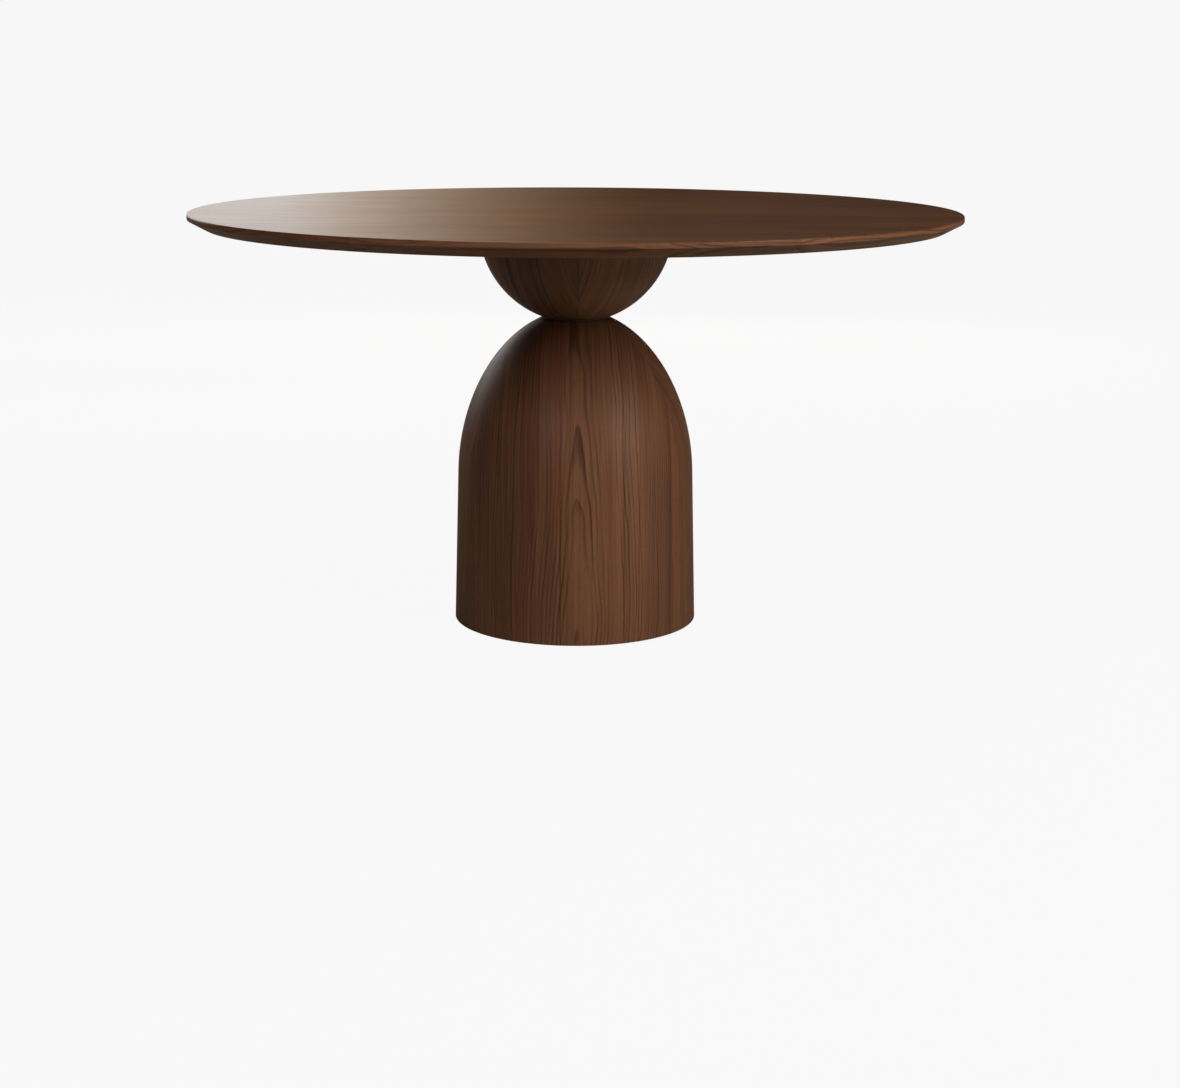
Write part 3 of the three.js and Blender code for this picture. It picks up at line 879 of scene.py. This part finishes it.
def make_glide_pad(number):
    """A moulded pad: a rounded sole with a gate mark and a ring groove, and a snap socket for the
    stem's foot."""
    node_name = f"glide_pad_{number}"
    place = centre(node_name)
    low, high = heights(node_name)
    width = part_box(node_name)[1].x - place.x
    socket, socket_floor = 6.55 * MM, low + 3 * MM
    gate_mark, groove, shoulder = low + 0.4 * MM, low + 0.6 * MM, high - 1.2 * MM
    outline = eased([
        (0, gate_mark, 0),
        (4 * MM, gate_mark, 0),
        (5 * MM, low, 0.3 * MM),
        (11 * MM, low, 0.3 * MM),
        (11.6 * MM, groove, 0),
        (12.4 * MM, groove, 0),
        (13 * MM, low, 0.3 * MM),
        (width, low, 1.6 * MM),
        (width, shoulder - 1.2 * MM, 0.8 * MM),
        (width - 3.5 * MM, shoulder, 0.8 * MM),
        (socket + 3.4 * MM, shoulder, 0),
        (socket + 3.0 * MM, high, 0.3 * MM),
        (socket, high, 0.3 * MM),
        (socket, socket_floor, 0),
        (0, socket_floor, 0),
    ])
    pad = put(turned(f"nylon_pad_{number}", outline, 96), (place.x, place.y, 0))
    dress(pad, NYLON, f"pad_{number}", "black_nylon", node_name)


def make_glide_stem(number):
    """A levelling screw: a flared foot held in the pad, a hexagon for the spanner, a thread."""
    node_name = f"glide_stem_{number}"
    place = centre(node_name)
    low, high = heights(node_name)
    flats, foot, shank = 14 * MM, 6.2 * MM, 5 * MM
    foot_high, hex_low, hex_high = 7.6 * MM, 9 * MM, 15 * MM
    thread_low = hex_high + 1.2 * MM
    core = shank - THREAD_DEPTH * GLIDE_THREAD_PITCH
    outline = [Vector((0, low)), Vector((foot - 0.5 * MM, low)), Vector((foot, low + 0.5 * MM)),
               Vector((foot, foot_high)), Vector((shank, foot_high + 0.5 * MM)),
               Vector((shank, hex_low))]
    outline += hex_outline(flats, hex_low, hex_high, True)
    outline += [Vector((shank, hex_high)), Vector((core, thread_low)),
                Vector((core, high - 1 * MM)), Vector((core - 0.8 * MM, high)), Vector((0, high))]
    name = f"levelling_screw_{number}"
    stem = turned(name, outline, SIDES_OF_HEAD, 0.0, flats)
    stem = grown(name, stem, THREAD_TREE, Crest_Radius=shank, Pitch=GLIDE_THREAD_PITCH,
                 Bottom=thread_low, Height=high - thread_low - 1.8 * MM, Material=ZINC)
    dress(put(stem, (place.x, place.y, 0)), ZINC, f"stem_{number}", "zinc_steel", node_name)


def make_weld_nuts():
    """The nuts under the base plate that the levelling screws turn in."""
    low, high = heights("glide_nut_1")
    bore, flats, chamfer = 5.35 * MM, 17 * MM, 0.6 * MM
    outline = ([Vector((bore, low + chamfer)), Vector((bore + chamfer, low))]
               + hex_outline(flats, low, high, False) + [Vector((bore, high))])
    nut = turned("weld_nut", outline, SIDES_OF_HEAD, 0.0, flats)
    ring_of("weld_nuts", nut, "glide_nut", GLIDE_COUNT)


def coat_kept_parts():
    """Gives the CAD parts whose shape is right their material."""
    coats = {
        PLYWOOD: ("bowl_rim_ring", "bowl_floor_ring", "dome_crown_ring", "dome_belt_ring",
                  "dome_foot_ring"),
        POWDER_COAT: ("top_plate", "base_plate", "column_tube"),
        CAST_IRON: ("ballast_disc_1", "ballast_disc_2", "ballast_disc_3"),
    }
    for material, names in coats.items():
        for name in names:
            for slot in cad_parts[name].material_slots:
                slot.material = material


make_tabletop()
make_lipping()
make_bowl()
make_collar()
make_dome()
make_bolts()
make_inserts()
make_tie()
make_weld_nuts()
for glide in range(1, GLIDE_COUNT + 1):
    make_glide_pad(glide)
    make_glide_stem(glide)
coat_kept_parts()


# ---- Camera, light and floor ----
LENS = 63.93  # millimetres on a 36 mm wide frame
CAMERA_PLACE = (0.0146, -3.7841, 1.0141)
CAMERA_PITCH = 0.2276
CAMERA_YAW = 0.0034
CAMERA_ROLL = 0.0045


def make_camera():
    """A camera in front of the table at a seated eye's height, looking a little down."""
    lens = bpy.data.cameras.new("camera")
    lens.sensor_width = 36
    lens.lens = LENS
    camera = bpy.data.objects.new("camera", lens)
    bpy.context.scene.collection.objects.link(camera)
    turn = Matrix.Rotation(-CAMERA_YAW, 4, "Z")
    tilt = Matrix.Rotation(math.pi / 2 - CAMERA_PITCH, 4, "X")
    roll = Matrix.Rotation(CAMERA_ROLL, 4, "Z")
    camera.matrix_world = Matrix.Translation(CAMERA_PLACE) @ turn @ tilt @ roll
    bpy.context.scene.camera = camera


def panel(name, place, target, width, height, power, mirrored):
    """A soft warm rectangular light that faces its target. Only the mirrored share of its power
    shows in polished surfaces, as when most of it comes by way of a matt ceiling."""
    facing = (Vector(target) - Vector(place)).to_track_quat("-Z", "Y")
    for kind, share in (("shine", mirrored), ("wash", 1 - mirrored)):
        data = bpy.data.lights.new(f"{name}_{kind}", "AREA")
        data.shape = "RECTANGLE"
        data.size, data.size_y = width, height
        data.energy = power * share
        data.color = linear("#fff4ea")[:3]
        light = bpy.data.objects.new(f"{name}_{kind}", data)
        bpy.context.scene.collection.objects.link(light)
        light.matrix_world = Matrix.Translation(place) @ facing.to_matrix().to_4x4()
        light.visible_camera = False
        light.visible_glossy = kind == "shine"


PALE = "#f7f7f7"
FOOT_MIDDLE = (0, 0, 0.4)


def make_window():
    """A tall window behind on the left, bright at its far side and fading towards the middle.
    It lays the pale sheen over the left of the tabletop."""
    left, right, low, high, back = -3.6, 0.35, 0.75, 2.1, 3.0
    fade_start, brightness = -0.95, 2.35
    mesh = bmesh.new()
    corners = [(left, back, low), (right, back, low), (right, back, high), (left, back, high)]
    mesh.faces.new([mesh.verts.new(corner) for corner in corners])
    window = to_object("window_light", mesh)
    material = bpy.data.materials.new("window_glow")
    add = node_adder(material)
    sideways = add(SPLIT, add("ShaderNodeTexCoord").outputs["Object"])
    fade = add(RANGE, sideways, fade_start, right, 1.0, 0.0)
    soft_fade = add(MATH, fade, 2.0, operation="POWER")
    tint = add(MIX, soft_fade, linear("#ffcf9a"), linear("#fffbf6"), **COLOUR)
    glow = add("ShaderNodeEmission", tint, add(MATH, soft_fade, brightness, operation="MULTIPLY"))
    add("ShaderNodeOutputMaterial", glow)
    window.data.materials.append(material)
    window.visible_camera = False


def make_floor():
    """A wide pale floor. The eye sees it evenly lit with a very faint contact shadow, and what it
    throws back on the table is what a mid grey studio floor would. It is clear from below, so
    that the foot can be looked at."""
    mesh = bmesh.new()
    bmesh.ops.create_grid(mesh, x_segments=1, y_segments=1, size=60)
    floor = to_object("floor", mesh)
    material = bpy.data.materials.new("pale_floor")
    add = node_adder(material)
    glow = add("ShaderNodeEmission", linear(PALE), 1.0)
    shaded = add("ShaderNodeBsdfDiffuse", linear("#232323"))
    seen = add("ShaderNodeAddShader", glow, shaded)
    bounced = add("ShaderNodeBsdfDiffuse", linear("#9a938b"))
    to_eye = add("ShaderNodeLightPath").outputs["Is Camera Ray"]
    upper_side = add("ShaderNodeMixShader", to_eye, bounced, seen)
    clear = add("ShaderNodeBsdfTransparent")
    behind = add("ShaderNodeNewGeometry").outputs["Backfacing"]
    add("ShaderNodeOutputMaterial", add("ShaderNodeMixShader", behind, upper_side, clear))
    floor.data.materials.append(material)


def make_world():
    """Pale where the eye looks past the floor, and otherwise a dim warm room."""
    world = bpy.data.worlds.new("studio")
    bpy.context.scene.world = world
    add = node_adder(world)
    seen = add("ShaderNodeBackground", linear(PALE), 1.0)
    dim = add("ShaderNodeBackground", linear("#fff4e8"), 0.03)
    to_eye = add("ShaderNodeLightPath").outputs["Is Camera Ray"]
    add("ShaderNodeOutputWorld", add("ShaderNodeMixShader", to_eye, dim, seen))


make_camera()
make_floor()
make_world()
bpy.context.scene.view_settings.view_transform = "Standard"
make_window()
panel("softbox_front_right", place=(3.9, -3.0, 2.6), target=FOOT_MIDDLE,
      width=2.4, height=2.4, power=208, mirrored=0.36)
panel("softbox_front_left", place=(-1.7, -4.4, 2.7), target=FOOT_MIDDLE,
      width=2.2, height=1.4, power=58, mirrored=0.40)
panel("softbox_behind", place=(0.4, 4.6, 1.3), target=FOOT_MIDDLE,
      width=2.4, height=1.2, power=80, mirrored=0.0)
panel("ceiling", place=(-0.15, 0, 2.1), target=(-0.15, 0, 0),
      width=1.0, height=1.0, power=5, mirrored=1.0)
